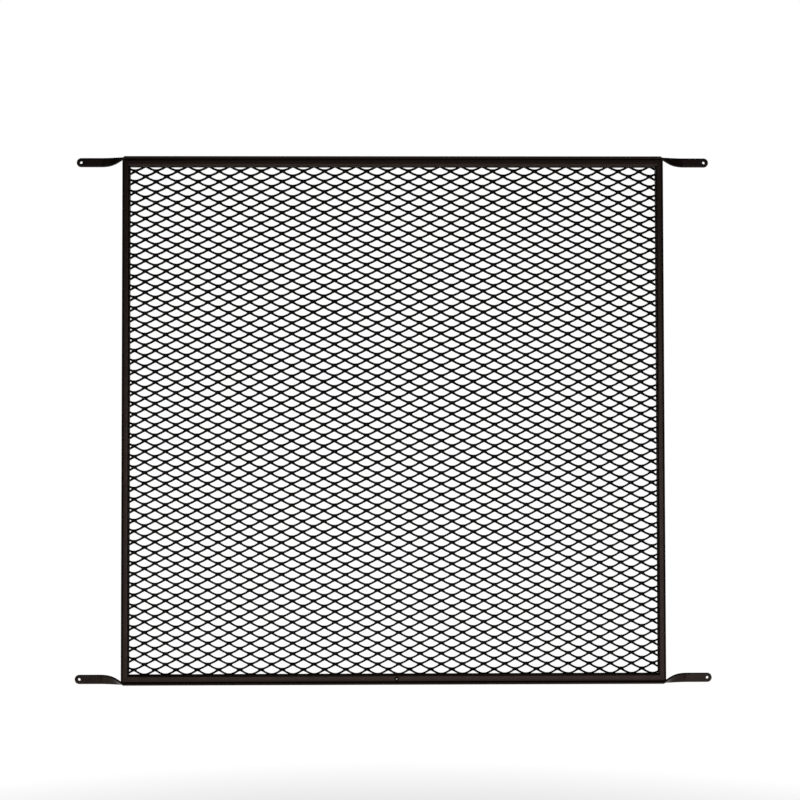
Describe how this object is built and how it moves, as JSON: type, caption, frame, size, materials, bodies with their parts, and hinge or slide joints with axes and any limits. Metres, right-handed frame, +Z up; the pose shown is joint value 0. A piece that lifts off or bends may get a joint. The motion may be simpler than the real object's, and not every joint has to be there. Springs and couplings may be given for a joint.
{
  "type": "expanded-metal guard panel",
  "caption": "Black raised expanded-metal sheet in a mitred channel frame, screwed over a door or hearth opening by twisted flat-bar tabs at its corners",
  "frame": {"origin": "the middle of the four screw holes, in the plane of the tabs' backs, which lies against the door or surround", "axes": "+X to the right across the panel, +Z up, and the front faces -Y"},
  "size_m": [0.762, 0.012, 0.633],
  "materials": {
    "painted_mesh": "semi-gloss black paint",
    "painted_frame": "semi-gloss black paint",
    "painted_bar": "semi-gloss black paint",
    "painted_rivet": "semi-gloss black paint",
    "bare_rivet_stem": "bare steel, broken end"
  },
  "bodies": {
    "root": {"expanded_mesh": "painted_mesh", "top_rail": "painted_frame", "bottom_rail": "painted_frame", "left_rail": "painted_frame", "right_rail": "painted_frame", "top_strap": "painted_bar", "bottom_strap": "painted_bar", "rivet_body": "painted_rivet", "rivet_mandrel": "bare_rivet_stem"}
  },
  "joints": []
}
